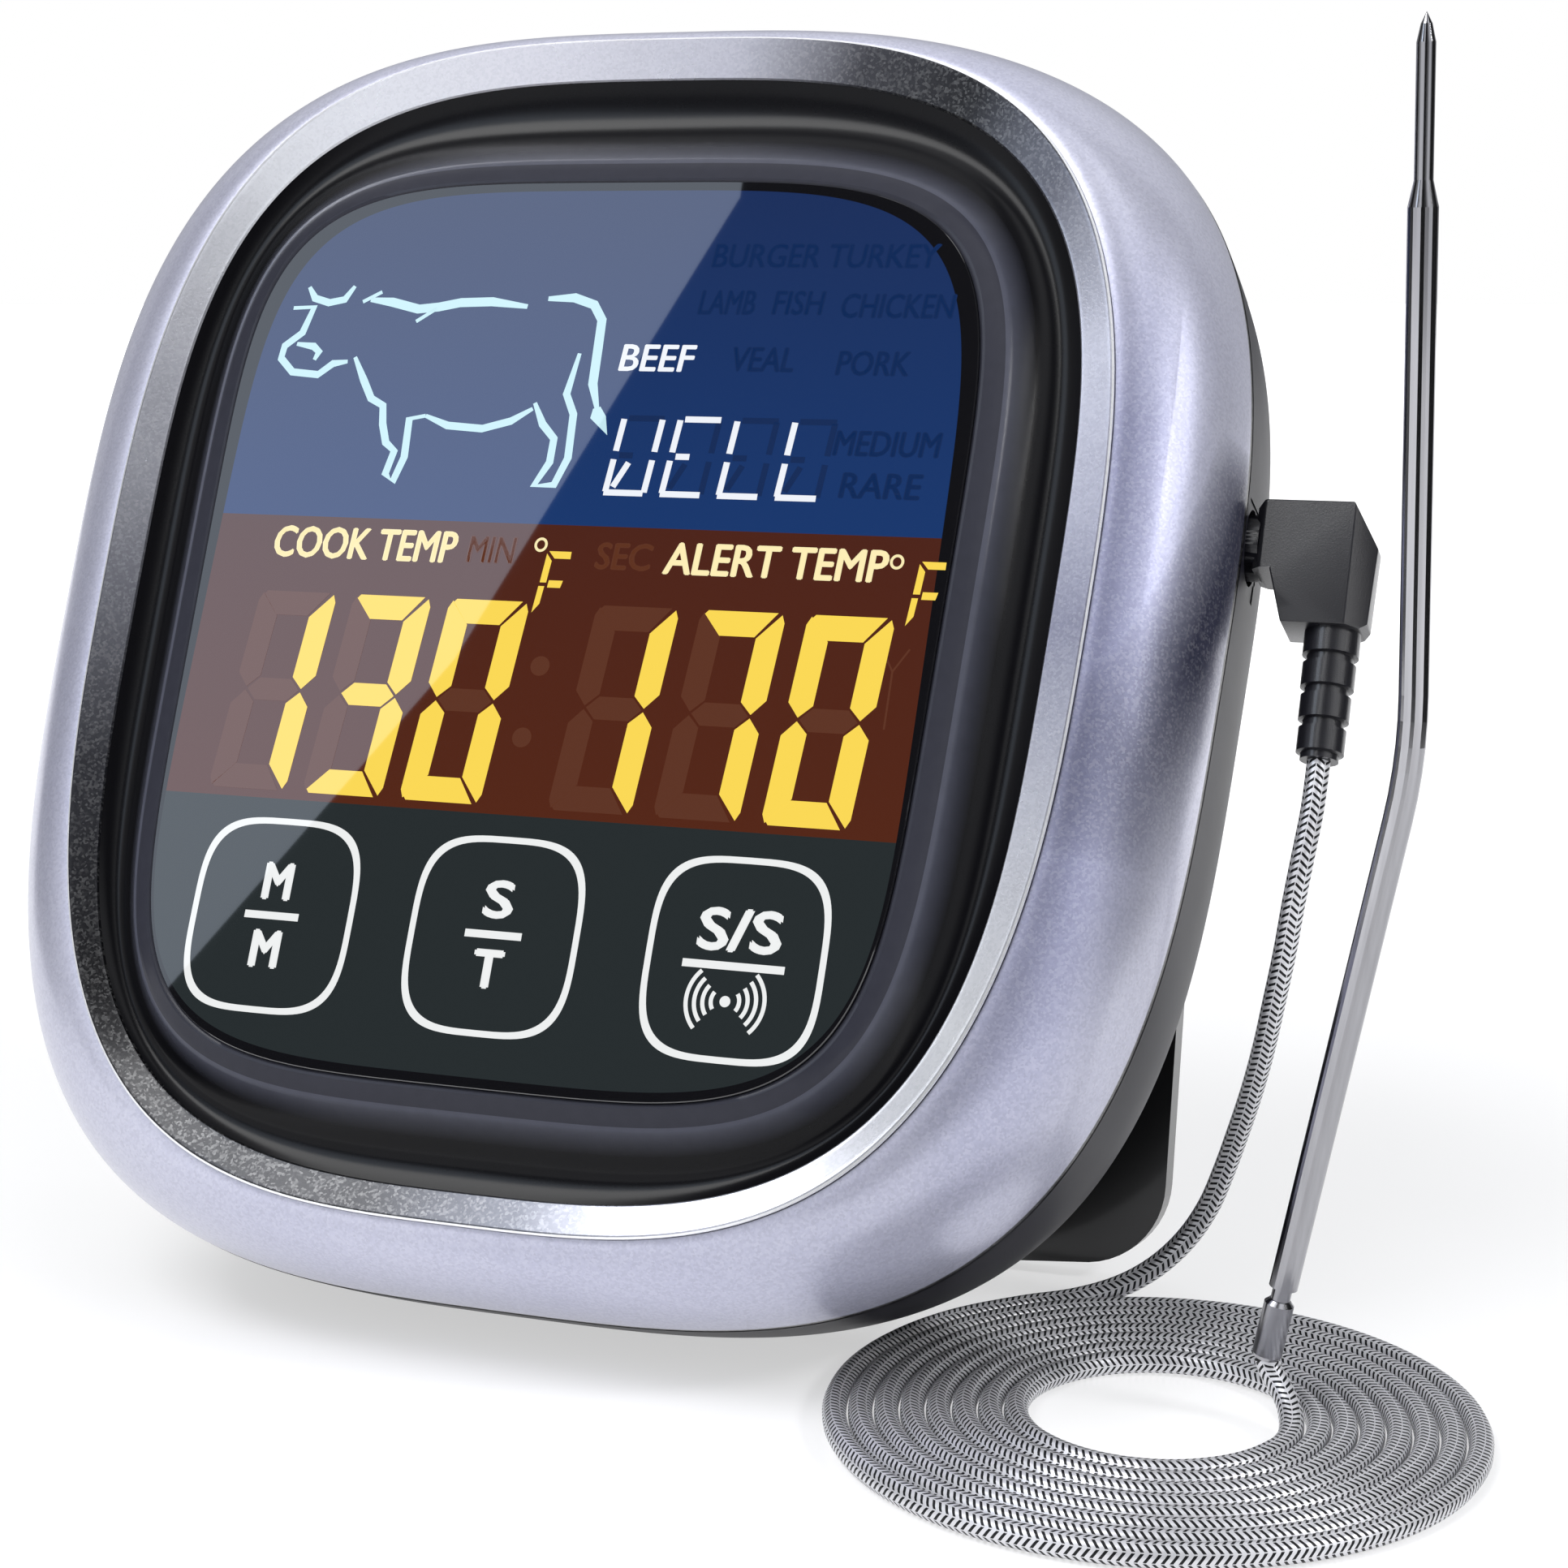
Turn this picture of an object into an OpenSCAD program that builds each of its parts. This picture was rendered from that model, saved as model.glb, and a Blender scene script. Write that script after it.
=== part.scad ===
// Touch-screen cooking thermometer leaning on its flip-out stand,
// with a steel probe on a braided lead that plugs into its right side.
// World frame: X right, Y away from the user, Z up, table at Z = 0, origin under the case's foot pad.
// Body frame: X right, Y up the face, Z out of the face; depths are measured behind the glass.

/* [Stance] */
// Lean of the face back from upright
lean = 26; // [20:1:32]
// Height of the face's centre above the table
face_h = 58.3; // [58:0.1:60]

/* [Face] */
// Half width of the glass
glass_w = 31.3; // [30:0.1:33]
// Half height of the glass
glass_h = 37; // [35:0.5:39]
// Thickness of the glass
glass_t = 1.5; // [1:0.1:2]
// Half width of the trim ring, outside
ring_w = 41.9; // [41:0.1:43]
// Half height of the trim ring, outside
ring_h = 49.1; // [48:0.1:50]
// Width of the trim ring
ring_band = 3; // [2:0.1:4]
// Widening of every outline from bottom to top, per mm
flare = 0.00075; // [0:0.00005:0.001]

/* [Case] */
// Half width of the case at the joint of its two shells
joint_w = 50.2; // [49:0.1:51]
// Half height of the case at the joint of its two shells
joint_h = 53.5; // [52:0.1:55]
// Depth of that joint behind the glass
joint_z = 12.9; // [11:0.1:15]
// Depth of the back face behind the glass
case_d = 28.7; // [27:0.1:31]
// Wall of the shells
wall = 1.8; // [1.4:0.1:2.4]

/* [Stand] */
// Height of the stand's hinge up the face
hinge_y = 22; // [20:1:26]
// Half width of the stand
stand_w = 44.6; // [42:0.1:46]
// Thickness of the stand
stand_t = 2.6; // [2:0.1:3]
// Angle of the open stand from upright
stand_lean = 9.9; // [9:0.1:11]

/* [Batteries] */
// Diameter of a cell
cell_d = 10.5; // [10.5:0.1:10.5]
// Length of a cell
cell_l = 44.5; // [44.5:0.1:44.5]
// Height of the battery bay's centre up the face
bay_y = 5; // [3:1:7]

/* [Lead] */
// Diameter of the braided cord
cord_d = 1.9; // [1.8:0.1:1.9]
// Radius of the coil where it starts, at the middle of the cord
coil_r = 24.3; // [24:0.1:24.5]
// Height of the plug's pin up the face
jack_y = 11.7; // [11:0.1:13]
// Depth of the plug's pin behind the glass
jack_z = 16.5; // [16:0.1:17]
// Diameter of the plug's pin
pin_d = 2.5; // [2.5:0.1:2.5]

/* [Probe] */
// Diameter of the probe's shaft
shaft_d = 2.1; // [2:0.05:2.3]
// Diameter of the probe's thin end
tip_d = 1.3; // [1.2:0.05:1.5]
// Tilt of the shaft below the bend
lower_tilt = 11.2; // [9:0.1:13]
// Tilt of the shaft above the bend, the other way
upper_tilt = 1.1; // [0:0.1:2]

/* [Hidden] */

$fn = 48;
eps = 0.01;
sides = 72;
gap = 0.3;

// An outline is [half width, half height, side exponent, end exponent, centre height].
glass_o = [glass_w, glass_h, 4.3, 5.3, -2];
seat_o = [glass_w + 0.1, glass_h + 0.1, 4.3, 5.3, -2];
window_o = [glass_w - 3.8, glass_h - 3.8, 4.3, 5.3, -2];
screen_o = [glass_w - 4.1, glass_h - 4.1, 4.3, 5.3, -2];
lip_o = [glass_w + 2.3, glass_h + 2.3, 4, 4.8, -1.8];
inner_o = [ring_w - ring_band, ring_h - ring_band, 3.1, 3.5, -0.4];
ring_o = [ring_w, ring_h, 3.2, 2.9, 0];
joint_o = [joint_w, joint_h, 3.25, 3.2, -0.7];
back_o = [47.3, 49.6, 3.6, 3.6, 1.8];
chassis_o = [37.6, 44.8, 3.2, 3.2, 0];
board_o = [31, 39, 3.2, 3.2, 0];

ring_z = 2.1;
ring_in_z = 2.9;
bezel_back = 4.6;
dish_dip = 1.4;
key_line = -18;
back_wall = 5.7;
inside_z = case_d - back_wall;
swell = 1.75;

bay_w = 60;
bay_h = 30;
door_t = 2;
cell_pitch = 11.2;
cell_z = 20.4;
tray_front = 14;
door_axis = [bay_y - bay_h/2 + 1.3, case_d - 1];

screw_x = 29.5;
screw_y = [-26, 37];
boss_z = 10;
switch_x = 13;
switch_y = 29;
magnet_x = 20;
magnet_y = 40;
sound_y = -22;

stand_z = case_d - 1.9;
recess_z = case_d - 3.5;
stand_leg = 10;
hinge_h = face_h + hinge_y*cos(lean) - stand_z*sin(lean);
stand_l = hinge_h/cos(stand_lean);
tip_w = 38;
tip_h = 1.4;
pin_r = 0.8;

plug_in = 51.1;
nose_in = 49.9;
nose_d = 5.2;
boot_x = 57.5;
boot_top = 5;
boot_l = 10.3;

// The cord's route from the boot to the coil, in world millimetres.
lead_route = [[57.5, 12.5, 46.4], [57.4, 11, 43], [57, 9.8, 39.5], [56.5, 9.3, 36],
    [55.9, 9.5, 32], [55.1, 10.2, 28], [54.2, 11.4, 24], [53.1, 12.8, 20], [51.8, 14.2, 16],
    [50.6, 15.2, 12.5], [49.3, 15.8, 9.2], [47.5, 16, 6.2], [45.2, 15.4, 3.8], [42.5, 14.2, 2.2],
    [39.2, 12.5, 1.3], [35.5, 10.4, 0.95]];
// The cord's route from the coil's inner end up to the probe's ferrule.
riser_route = [[60.1, -11.3, 0.95], [60.5, -9.8, 0.95], [60.6, -8.3, 1.1], [60.4, -6.9, 1.5],
    [59.9, -5.6, 2.2], [59.1, -4.6, 3.1], [58.3, -4.1, 4], [57.9, -4, 5]];
coil_at = [51, -8];
coil_turns = 7.6;
coil_start = 130;
coil_end_r = coil_r - cord_d*(coil_start - 90 + 360*coil_turns)/360;

probe_at = [57.9, -4, 5];
ferrule_l = 4.6;
neck_l = 1;
lower_l = 35.6;
bend_r = 42;
upper_l = 33;
taper_l = 1.8;
thin_l = 9;
point_l = 2;

function side(a) = a < 0 ? -1 : a > 0 ? 1 : 0;
function power(a, e) = side(a)*pow(abs(a), e);
function ring_points(o, z) = [for (i = [0:sides - 1])
    let (a = 360*i/sides, y = o[1]*power(sin(a), 2/o[3]))
    [o[0]*power(cos(a), 2/o[2])*(1 + flare*y), y + o[4], -z]];
function flat_points(o) = [for (p = ring_points(o, 0)) [p[0], p[1]]];
function blend(a, b, f) = a + (b - a)*f;
function grow(o, d) = [o[0] + d, o[1] + d, o[2], o[3], o[4]];

// The side of the case, from the trim ring at 0 to the joint of the shells at 1.
function bulge(f) = pow(1 - pow(1 - f, swell), 1/swell);
function case_side(f) = blend(ring_o, joint_o, bulge(f));
function case_rear(f) = blend(joint_o, back_o, 1 - pow(1 - pow(f, 2.5), 0.4));

// Solid skinned over stacked outlines: stations are [outline, depth], wound in a ring or capped.
module skin(stations, closed = false) {
    n = len(stations);
    points = [for (s = stations) each ring_points(s[0], s[1])];
    walls = [for (k = [0:closed ? n - 1 : n - 2], i = [0:sides - 1])
        let (j = (i + 1) % sides, a = k*sides, b = (k + 1) % n*sides)
        [a + i, a + j, b + j, b + i]];
    caps = closed ? [] : [[for (i = [sides - 1:-1:0]) i], [for (i = [0:sides - 1]) (n - 1)*sides + i]];
    polyhedron(points, concat(walls, caps), convexity = 10);
}

module leaned() {
    translate([0, 0, face_h]) rotate([90 - lean, 0, 0]) children();
}

// Plate with a given outline between two depths behind the glass.
module plate(o, front, back) {
    translate([0, 0, -back]) linear_extrude(back - front) polygon(flat_points(o));
}

// Box given by its centre in the face and its depths behind the glass.
module block(x, y, w, h, front, back) {
    translate([x - w/2, y - h/2, -back]) cube([w, h, back - front]);
}

// Round piece along the depth.
module disc(x, y, d, front, back) {
    translate([x, y, -back]) cylinder(d = d, h = back - front);
}

// Round piece along X between two positions, at a height and depth in the body frame.
module rod(y, z, d, from, to) {
    translate([from, y, -z]) rotate([0, 90, 0]) cylinder(d = d, h = to - from);
}

module screw_places() {
    for (sx = [-1, 1], y = screw_y) translate([sx*screw_x, y, 0]) children();
}

module glass_panel() {
    color([0.05, 0.08, 0.12, 0.6]) leaned() plate(glass_o, 0, glass_t);
}

module glass_seal() {
    color("black") leaned() difference() {
        plate(grow(glass_o, -0.3), glass_t, 2);
        translate([0, 0, eps]) plate(grow(window_o, 0.6), glass_t - 1, 2.1);
    }
}

module front_bezel() {
    steps = 6;
    dish = [for (k = [0:steps]) let (f = k/steps)
        [blend(lip_o, inner_o, f), blend(1, ring_in_z, f) + dish_dip*sin(180*f)]];
    color([0.08, 0.08, 0.09]) leaned() skin(concat(
        [[seat_o, 0.35], [grow(seat_o, 0.4), 0.2]], dish,
        [[inner_o, bezel_back], [window_o, bezel_back], [window_o, 2], [seat_o, 2]]), closed = true);
}

module trim_ring() {
    color([0.8, 0.8, 0.84]) leaned() skin([[inner_o, ring_in_z], [grow(inner_o, 0.25), ring_in_z - 0.25],
        [grow(ring_o, -0.3), ring_z - 0.1], [ring_o, ring_z + 0.2], [ring_o, bezel_back],
        [inner_o, bezel_back]], closed = true);
}

module side_shell() {
    steps = 8;
    depth = joint_z - ring_z;
    outside = [for (k = [0:steps]) let (f = pow(k/steps, 1.6))
        [case_side(f), ring_z + 0.2 + (depth - 0.2)*f]];
    inside = [for (k = [steps:-2:1]) let (f = pow(k/steps, 1.6))
        [grow(case_side(f), -wall), ring_z + 0.2 + (depth - 0.2)*f + (k == steps ? 0 : 1.2)]];
    color([0.86, 0.87, 0.9]) leaned() skin(concat(outside, inside,
        [[grow(ring_o, -1.2), bezel_back + 1.3], [grow(ring_o, -1.2), bezel_back],
        [ring_o, bezel_back]]), closed = true);
}

module rear_cup() {
    steps = 7;
    outside = [for (k = [0:steps]) let (f = sin(90*k/steps))
        [case_rear(f), blend(joint_z, case_d, f)]];
    inside = [[grow(back_o, -wall - 1.4), inside_z], [grow(case_rear(0.55), -wall), inside_z - 1.5],
        [grow(joint_o, -wall), joint_z]];
    skin(concat(inside, outside));
}

module screw_bosses(d, front, back) {
    screw_places() translate([0, 0, -back]) cylinder(d = d, h = back - front);
}

module rear_shell() {
    color([0.16, 0.16, 0.18]) difference() {
        union() {
            leaned() rear_cup();
            leaned() screw_bosses(5.6, boss_z, inside_z + 0.5);
        }
        leaned() {
            block(0, bay_y, bay_w, bay_h + 0.6, case_d - door_t - 0.1, case_d + 1);
            block(0, bay_y, bay_w - 4, bay_h - 3, inside_z - 1, case_d);
            block(0, bay_y + bay_h/2 + 0.2, 9, 3, case_d - 1.2, case_d + 1);
            stand_recess();
            screw_bosses(2.6, boss_z - 1, case_d + 1);
            screw_bosses(5, case_d - 3.4, case_d + 1);
            for (sx = [-1, 1]) disc(sx*magnet_x, magnet_y, 10, case_d - 2.5, case_d + 1);
            block(-switch_x, switch_y, 9, 3.4, inside_z - 1, case_d + 1);
            disc(switch_x, switch_y, 6.4, inside_z - 1, case_d + 1);
            disc(0, sound_y, 1.2, inside_z - 1, case_d + 1);
            for (a = [0:60:300])
                disc(3*cos(a), sound_y + 3*sin(a), 1.2, inside_z - 1, case_d + 1);
            rod(jack_y, jack_z, 6, joint_w - 4, joint_w + 3);
        }
        foot_block();
    }
}

// Space that the folded stand fills, with room around it.
module stand_recess() {
    difference() {
        translate([0, 0, -case_d - 1]) linear_extrude(case_d + 1 - recess_z) stand_outline(0.5);
        translate([0, 0, -case_d - 2]) linear_extrude(9) stand_window(-0.5);
    }
    for (sx = [-1, 1]) {
        block(sx*(stand_w - stand_leg/2 - 0.2), hinge_y + 1, stand_leg + 1.4, 7, case_d - 4.3,
            case_d + 1);
        mirror([sx < 0 ? 1 : 0, 0, 0]) rod(hinge_y, stand_z, 2*pin_r, 29.8, 46.5);
    }
}

// Outline of the stand, hinge line at the hinge height, grown by a margin.
module stand_outline(margin = 0) {
    bottom = hinge_y - stand_l - margin;
    corner = 7;
    intersection() {
        hull() {
            for (sx = [-1, 1]) {
                translate([sx*(stand_w - corner - 0.2), bottom + corner + 1.2]) circle(r = corner + margin);
                translate([sx*(stand_w - 6 + margin), 0]) circle(r = 6);
                translate([sx*(stand_w - 3 + margin), hinge_y + 2]) circle(r = 2);
            }
            translate([-24, bottom]) square([48, 1]);
        }
        translate([-60, bottom - 1]) square([120, hinge_y + 3 + margin - bottom + 1]);
    }
}

module stand_window(shrink = 0) {
    half = stand_w - stand_leg + shrink;
    low = hinge_y - stand_l + 13 - shrink;
    hull() {
        for (sx = [-1, 1]) translate([sx*(half - 5), low + 5]) circle(r = 5);
        translate([-half, hinge_y + 10]) square([2*half, 1]);
    }
}

module foot_block() {
    translate([-13, -2.2, 0]) cube([26, 4.4, 1.6]);
}

module foot_pad() {
    color([0.12, 0.12, 0.12]) foot_block();
}

module front_chassis() {
    color([0.2, 0.2, 0.22]) leaned() difference() {
        union() {
            difference() {
                plate(chassis_o, bezel_back, 6.4);
                translate([0, 0, eps]) plate(grow(screen_o, 0.2), bezel_back - 1, 6.5);
            }
            screw_bosses(5.2, bezel_back + 1, boss_z - 0.1);
        }
        screw_bosses(2.1, bezel_back + 2.2, boss_z + 1);
    }
}

// Part of the screen stack: the screen's outline above the key line, or below it.
module screen_piece(front, back, above) {
    translate([0, 0, -back]) linear_extrude(back - front) intersection() {
        polygon(flat_points(screen_o));
        translate([-60, above ? key_line : key_line - 60.4]) square([120, 60]);
    }
}

module lcd_module() {
    color([0.1, 0.2, 0.4]) leaned() screen_piece(2.1, 4.3, true);
}

module backlight() {
    color("white") leaned() screen_piece(4.4, 6.1, true);
}

module touch_film() {
    color([0.75, 0.45, 0.2]) leaned() screen_piece(2.1, 2.5, false);
}

module main_board() {
    color([0.1, 0.4, 0.22]) leaned() difference() {
        plate(board_o, 6.6, 8.2);
        screw_bosses(6.4, 6, 9);
    }
}

module driver_chip() {
    color([0.05, 0.05, 0.05]) leaned() block(0, -6, 12, 12, 8.2, 9.8);
}

module buzzer() {
    color([0.1, 0.1, 0.1]) leaned() difference() {
        disc(0, sound_y, 12, 17, inside_z - 0.4);
        disc(0, sound_y, 2, inside_z - 2, inside_z);
    }
}

module jack_body() {
    color([0.14, 0.14, 0.14]) leaned() difference() {
        block(42.6, jack_y, 9.6, 6.4, jack_z - 3.2, jack_z + 3.2);
        rod(jack_y, jack_z, pin_d + 0.12, 38.3, 48);
    }
}

module jack_bushing() {
    color([0.75, 0.75, 0.78]) leaned() difference() {
        rod(jack_y, jack_z, 5.9, 47.4, nose_in - 0.3);
        rod(jack_y, jack_z, pin_d + 0.12, 47, nose_in);
    }
}

module battery_tray() {
    tray_back = case_d - door_t - 0.6;
    color([0.13, 0.13, 0.14]) leaned() difference() {
        block(0, bay_y, bay_w - 4.4, bay_h - 3.4, tray_front, tray_back);
        block(0, bay_y, bay_w - 7.2, bay_h - 6.4, tray_front + 1, tray_back + 1);
    }
}

module cell(y) {
    nub = 2.4;
    rod(y, cell_z, cell_d, -cell_l/2, cell_l/2 - 1);
    rod(y, cell_z, nub, cell_l/2 - 1 - eps, cell_l/2);
}

module cell_upper() {
    color([0.75, 0.6, 0.2]) leaned() cell(bay_y + cell_pitch/2);
}

module cell_lower() {
    color([0.75, 0.6, 0.2]) leaned() mirror([1, 0, 0]) cell(bay_y - cell_pitch/2);
}

module spring_contacts() {
    coil_x = cell_l/2;
    color([0.8, 0.8, 0.82]) leaned() for (s = [-1, 1]) {
        y = bay_y - s*cell_pitch/2;
        for (k = [0:3])
            translate([s*(coil_x + 0.5 + 0.9*k), y, -cell_z]) rotate([0, 90, 0])
                rotate_extrude() translate([2.2 + 0.3*k, 0]) circle(d = 0.95, $fn = 16);
        block(s*(bay_w/2 - 3.85), y, 0.5, 7, cell_z - 3.5, cell_z + 3.5);
    }
}

module plate_contacts() {
    reach = bay_w/2 - 3.6 - cell_l/2 - 0.1;
    color([0.8, 0.8, 0.82]) leaned() for (s = [-1, 1]) difference() {
        x = s*(bay_w/2 - 3.6 - reach/2);
        block(x, bay_y + s*cell_pitch/2, reach, 7, cell_z - 3.5, cell_z + 3.5);
        block(x + s*0.3, bay_y + s*cell_pitch/2, reach, 6.2, cell_z - 4, cell_z + 4);
    }
}

module battery_door() {
    half = bay_w/2 - gap;
    top = bay_y + bay_h/2 - 0.1;
    color([0.18, 0.18, 0.2]) leaned() difference() {
        union() {
            block(0, (door_axis[0] + top)/2, 2*half, top - door_axis[0], case_d - door_t, case_d);
            rod(door_axis[0], door_axis[1], door_t, -half, half);
            block(0, top - 0.4, 8, 2.2, case_d - 1, case_d);
        }
        for (sx = [-1, 1]) block(sx*5, top - 3, 0.8, 7, case_d - 3, case_d + 1);
        for (k = [0:4]) block(0, top - 5 - 1.6*k, 14, 0.7, case_d - 0.5, case_d + 1);
    }
}

module switch_body() {
    color([0.3, 0.3, 0.32]) leaned() block(-switch_x, switch_y, 12, 6, 17, inside_z - 1.4);
}

module switch_knob() {
    color([0.1, 0.1, 0.1]) leaned() {
        block(-switch_x - 1.5, switch_y, 5.4, 2.8, inside_z - 0.3, case_d - 1.2);
        block(-switch_x - 1.5, switch_y, 6.6, 4.6, inside_z - 1.1, inside_z - 0.3);
        for (k = [-1:1]) block(-switch_x - 1.5 + 1.5*k, switch_y, 0.7, 2.8, case_d - 1.2, case_d - 0.6);
    }
}

module unit_switch() {
    color([0.3, 0.3, 0.32]) leaned() {
        block(switch_x, switch_y, 6, 6, 17.4, inside_z - 2.5);
        disc(switch_x, switch_y, 3, inside_z - 2.5, inside_z - 1.7);
    }
}

module unit_button() {
    color([0.1, 0.1, 0.1]) leaned() {
        disc(switch_x, switch_y, 5.8, inside_z - 0.2, case_d - 0.3);
        disc(switch_x, switch_y, 7.4, inside_z - 0.8, inside_z - 0.1);
    }
}

module magnets() {
    color([0.7, 0.7, 0.72]) leaned() for (sx = [-1, 1])
        disc(sx*magnet_x, magnet_y, 9.9, case_d - 2.5, case_d - 0.1);
}

module case_screws() {
    color([0.7, 0.7, 0.72]) leaned() screw_places() difference() {
        union() {
            translate([0, 0, -case_d + 1.6]) cylinder(d = 4.4, h = 1.7);
            translate([0, 0, -case_d + 3.3 - eps]) cylinder(d = 2, h = 18);
        }
        for (a = [0, 90]) rotate(a) translate([-1.4, -0.3, -case_d + 1]) cube([2.8, 0.6, 1.5]);
    }
}

// The stand in its own frame: hinge line on X, plate down -Y, as it stands open.
module stand_place() {
    turn = lean - stand_lean;
    translate([0, hinge_y, -stand_z]) rotate([turn, 0, 0]) translate([0, -hinge_y, stand_z]) children();
}

module stand_frame() {
    color([0.07, 0.07, 0.08]) difference() {
        leaned() stand_place() difference() {
            union() {
                translate([0, 0, -stand_z - stand_t/2]) linear_extrude(stand_t) difference() {
                    stand_outline();
                    stand_window();
                    translate([-60, hinge_y]) square([120, 20]);
                }
                for (sx = [0, 1]) mirror([sx, 0, 0])
                    rod(hinge_y, stand_z, stand_t, stand_w - 9.6, stand_w - 0.4);
            }
            rod(hinge_y, stand_z, 2*pin_r + 0.1, -60, 60);
        }
        translate([-60, 0, -9]) cube([120, 60, 9.3]);
        translate([-tip_w/2, 0, -9]) cube([tip_w, 60, 9 + tip_h]);
    }
}

module stand_pins() {
    color([0.7, 0.7, 0.72]) leaned() for (sx = [0, 1]) mirror([sx, 0, 0])
        rod(hinge_y, stand_z, 2*pin_r, 30, 46.3);
}

module stand_tip() {
    color([0.12, 0.12, 0.12]) intersection() {
        leaned() stand_place() block(0, hinge_y - stand_l, tip_w, 9, stand_z - stand_t/2,
            stand_z + stand_t/2);
        translate([-60, 0, 0]) cube([120, 60, tip_h]);
    }
}

module plug_body() {
    chamfer = 1.7;
    half = 2.6;
    outer = boot_x + 2.9;
    color([0.12, 0.12, 0.13]) leaned() difference() {
        union() {
            intersection() {
                translate([0, 0, -jack_z - half]) linear_extrude(2*half)
                    polygon([[plug_in, jack_y - 2.4], [plug_in, jack_y + 2.6],
                        [plug_in + 0.6, jack_y + 3.2], [outer - 1.9, jack_y + 3.2], [outer, jack_y],
                        [outer - 0.2, boot_top + 0.5], [outer - 0.7, boot_top],
                        [outer - 6.6, boot_top], [plug_in + 1.4, jack_y - 2.4]]);
                translate([0, 30, -jack_z]) rotate([90, 0, 0]) linear_extrude(40)
                    polygon([[plug_in, -half + 0.6], [plug_in + 0.6, -half], [outer - chamfer, -half],
                        [outer, -half + chamfer], [outer, half - chamfer], [outer - chamfer, half],
                        [plug_in + 0.6, half], [plug_in, half - 0.6]]);
            }
            rod(jack_y, jack_z, nose_d, nose_in, plug_in + 0.3);
        }
        rod(jack_y, jack_z, pin_d, nose_in - 1, nose_in + 1.5);
    }
}

module plug_pin() {
    color([0.85, 0.72, 0.35]) leaned() translate([nose_in - 11, jack_y, -jack_z]) rotate([0, 90, 0])
        rotate_extrude() polygon([[0, 0], [0.5, 0], [1.05, 0.9], [0.85, 1.7], [pin_d/2, 2.4],
            [pin_d/2, 3.4], [pin_d/2 - 0.15, 3.5], [pin_d/2 - 0.15, 3.9], [pin_d/2, 4],
            [pin_d/2, 12.5], [0, 12.5]]);
}

module lead_boot() {
    rings = 4;
    step = boot_l/rings;
    color([0.1, 0.1, 0.11]) leaned() translate([boot_x, boot_top, -jack_z]) rotate([90, 0, 0])
        rotate_extrude() polygon(concat([[0, 0]],
            [for (k = [0:rings - 1], p = [[0, 0], [0, 1.9], [-0.35, 2], [-0.35, step]])
                [2.15 - 0.11*k + p[0], k*step + p[1] - (k == rings - 1 && p[1] == step ? 0.1 : 0)]],
            [[0, boot_l - 0.1]]));
}

// Frames and rings of a round tube along a route.
function heading(r, i) = let (a = r[max(i - 1, 0)], b = r[min(i + 1, len(r) - 1)]) (b - a)/norm(b - a);
function across(t, ref) = let (c = cross(t, ref)) c/norm(c);
function tube_points(r, d, ref, n) = [for (i = [0:len(r) - 1], k = [0:n - 1])
    let (t = heading(r, i), u = across(t, ref), v = cross(t, u))
    r[i] + d/2*(u*cos(360*k/n) + v*sin(360*k/n))];

// Round tube swept along a route; ref is a direction that the route never takes.
module tube(r, d, ref, n = 8) {
    last = (len(r) - 1)*n;
    walls = [for (i = [0:len(r) - 2], k = [0:n - 1]) let (j = (k + 1) % n)
        [n*i + k, n*i + n + k, n*i + n + j, n*i + j]];
    caps = [[for (k = [0:n - 1]) k], [for (k = [n - 1:-1:0]) last + k]];
    polyhedron(tube_points(r, d, ref, n), concat(walls, caps));
}

module cord_tube() {
    color([0.75, 0.75, 0.77]) tube(lead_route, cord_d - 0.02, [-0.7, 0.7, 0.3]);
}

module cord_riser() {
    color([0.75, 0.75, 0.77]) tube(riser_route, cord_d - 0.02, [1, 0, 0.3]);
}

module cord_coil() {
    color([0.75, 0.75, 0.77]) translate([coil_at[0], coil_at[1], 0]) rotate_extrude($fn = 96)
        translate([coil_end_r - cord_d/2, 0]) square([coil_r - coil_end_r + cord_d, cord_d]);
}

// Axis of the lower shaft, from the ferrule's foot.
module probe_axis() {
    translate(probe_at) rotate([0, lower_tilt, 0]) children();
}

module probe_ferrule() {
    color([0.8, 0.8, 0.83]) probe_axis() rotate_extrude() polygon([[0, 0], [shaft_d/2 - 0.1, 0],
        [shaft_d/2 + 0.05, 0.3], [shaft_d/2 + 0.05, ferrule_l - 0.3], [shaft_d/2 - 0.25, ferrule_l],
        [0.72, ferrule_l], [0.72, ferrule_l + neck_l], [0, ferrule_l + neck_l]]);
}

module probe_shaft() {
    foot = ferrule_l + neck_l;
    bend = lower_tilt + upper_tilt;
    bent = [for (k = [0:5]) let (a = bend*k/5)
        [bend_r*(cos(a) - 1), 0, foot + lower_l + bend_r*sin(a)]];
    end = bent[5] + upper_l*[-sin(bend), 0, cos(bend)];
    route = concat([[0, 0, foot], [0, 0, foot + lower_l - 1]], bent, [bent[5] + (end - bent[5])/30, end]);
    color([0.8, 0.8, 0.83]) probe_axis() tube(route, shaft_d, [0, 1, 0], 24);
}

module upper_start() {
    bend = lower_tilt + upper_tilt;
    translate([-bend_r, 0, lower_l]) rotate([0, -bend, 0]) translate([bend_r, 0, 0]) children();
}

module probe_tip() {
    r = tip_d/2;
    color([0.8, 0.8, 0.83]) probe_axis() translate([0, 0, ferrule_l + neck_l]) upper_start()
        translate([0, 0, upper_l]) rotate_extrude() polygon([[0, 0], [shaft_d/2, 0], [r, taper_l],
            [r, taper_l + thin_l], [r*0.6, taper_l + thin_l + point_l*0.6],
            [0, taper_l + thin_l + point_l]]);
}

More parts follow.
